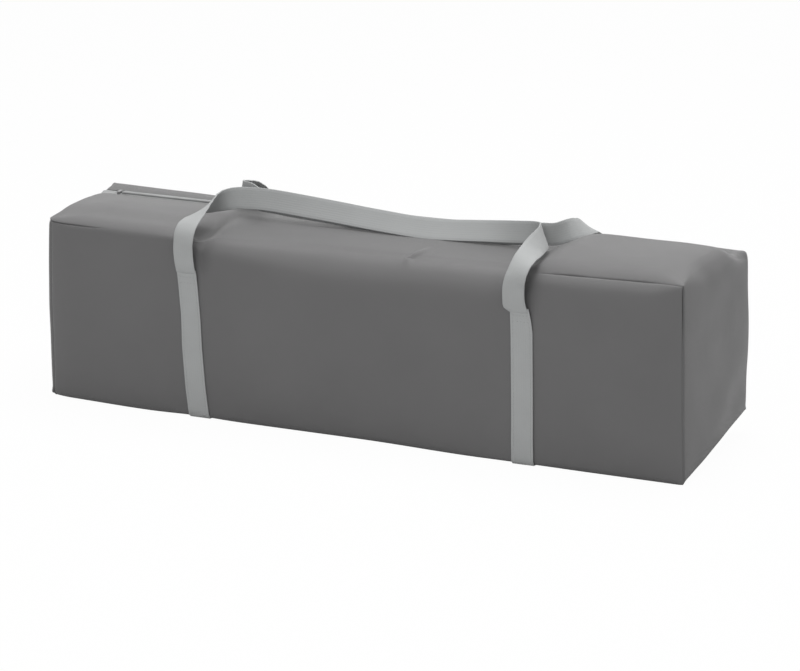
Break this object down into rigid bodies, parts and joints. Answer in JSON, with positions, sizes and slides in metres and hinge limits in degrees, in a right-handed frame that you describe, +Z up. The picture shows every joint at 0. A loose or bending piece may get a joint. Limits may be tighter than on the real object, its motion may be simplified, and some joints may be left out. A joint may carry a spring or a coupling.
{
  "type": "packed folding playpen",
  "caption": "Folding playpen packed in its long box-shaped zipped carry bag, with webbing straps and twin carry handles; the folded frame and its wrapped mat are inside.",
  "frame": {"origin": "on the floor under the middle of the bag, level with the underside of its straps", "axes": "+X along the bag towards the end where the zip closes, +Y from the front panel to the back, +Z up"},
  "size_m": [0.77, 0.2048, 0.2511],
  "materials": {
    "bag_cloth": "coated plain-weave polyester, dark grey",
    "binding_tape": "woven seam tape",
    "webbing": "flat woven webbing, light grey",
    "zip_tape": "woven zip tape",
    "zip_coil": "nylon coil",
    "zip_metal": "satin plated",
    "frame_tube": "powder coat, grey",
    "moulding": "moulded, fine texture",
    "latch_button": "moulded, satin",
    "rivet_steel": "zinc plated",
    "wall_mesh": "wall cloth, gathered",
    "mat_cover": "padded mat cover"
  },
  "bodies": {
    "bag": {"boxing_strip": "bag_cloth", "floor_hub": "moulding", "floor_tube_front_lower": "frame_tube", "floor_tube_front_upper": "frame_tube", "floor_tube_rear_lower": "frame_tube", "floor_tube_rear_upper": "frame_tube", "foot_front_lower": "moulding", "foot_front_upper": "moulding", "foot_rear_lower": "moulding", "foot_rear_upper": "moulding", "front_panel": "bag_cloth", "front_seam_binding": "binding_tape", "left_strap": "webbing", "long_latch_lower": "moulding", "long_latch_upper": "moulding", "long_rail_front_lower": "frame_tube", "long_rail_front_upper": "frame_tube", "long_rail_rear_lower": "frame_tube", "long_rail_rear_upper": "frame_tube", "mat_panel_1": "mat_cover", "mat_panel_2": "mat_cover", "mat_panel_3": "mat_cover", "mat_panel_4": "mat_cover", "mat_panel_5": "mat_cover", "mat_panel_6": "mat_cover", "mat_panel_7": "mat_cover", "mat_ties": "webbing", "pivot_rivets": "rivet_steel", "post_front_lower": "frame_tube", "post_front_upper": "frame_tube", "post_rear_lower": "frame_tube", "post_rear_upper": "frame_tube", "pull_loop": "webbing", "rear_panel": "bag_cloth", "rear_seam_binding": "binding_tape", "right_strap": "webbing", "short_latch_front": "moulding", "short_latch_rear": "moulding", "short_rail_front_lower": "frame_tube", "short_rail_front_upper": "frame_tube", "short_rail_rear_lower": "frame_tube", "short_rail_rear_upper": "frame_tube", "side_walls": "wall_mesh", "top_corner_front_lower": "moulding", "top_corner_front_upper": "moulding", "top_corner_rear_lower": "moulding", "top_corner_rear_upper": "moulding", "zip_coils": "zip_coil", "zip_stops": "zip_metal", "zip_tape_front": "zip_tape", "zip_tape_rear": "zip_tape"},
    "front_handle": {"front_handle": "webbing"},
    "rear_handle": {"rear_handle": "webbing"},
    "zip_slider": {"zip_slider": "zip_metal"},
    "zip_pull": {"zip_pull": "zip_metal"},
    "long_latch_button_lower": {"long_latch_button_lower": "latch_button"},
    "long_latch_button_upper": {"long_latch_button_upper": "latch_button"},
    "short_latch_button_front": {"short_latch_button_front": "latch_button"},
    "short_latch_button_rear": {"short_latch_button_rear": "latch_button"}
  },
  "joints": [
    {"name": "front_handle_swing", "type": "hinge", "parent": "bag", "child": "front_handle", "pos_m": [0, -0.0991, 0.1715], "axis": [1, 0, 0], "range_deg": [0, 150]},
    {"name": "rear_handle_swing", "type": "hinge", "parent": "bag", "child": "rear_handle", "pos_m": [0, 0.0991, 0.1715], "axis": [-1, 0, 0], "range_deg": [0, 150]},
    {"name": "zip_slide", "type": "slide", "parent": "bag", "child": "zip_slider", "axis": [-1, 0, 0], "range_m": [0, 0.7108], "deforming": ["zip_coils"]},
    {"name": "pull_flip", "type": "hinge", "parent": "zip_slider", "child": "zip_pull", "pos_m": [0.3554, 0.0615, 0.21315], "axis": [0, 1, 0], "range_deg": [0, 170]},
    {"name": "long_latch_press_lower", "type": "slide", "parent": "bag", "child": "long_latch_button_lower", "axis": [0, 0, -1], "range_m": [0, 0.004], "stiffness_N_per_m": 400, "springref_m": -0.004},
    {"name": "long_latch_press_upper", "type": "slide", "parent": "bag", "child": "long_latch_button_upper", "axis": [0, 0, 1], "range_m": [0, 0.004], "stiffness_N_per_m": 400, "springref_m": -0.004},
    {"name": "short_latch_press_front", "type": "slide", "parent": "bag", "child": "short_latch_button_front", "axis": [0, -1, 0], "range_m": [0, 0.004], "stiffness_N_per_m": 400, "springref_m": -0.004},
    {"name": "short_latch_press_rear", "type": "slide", "parent": "bag", "child": "short_latch_button_rear", "axis": [0, 1, 0], "range_m": [0, 0.004], "stiffness_N_per_m": 400, "springref_m": -0.004}
  ]
}
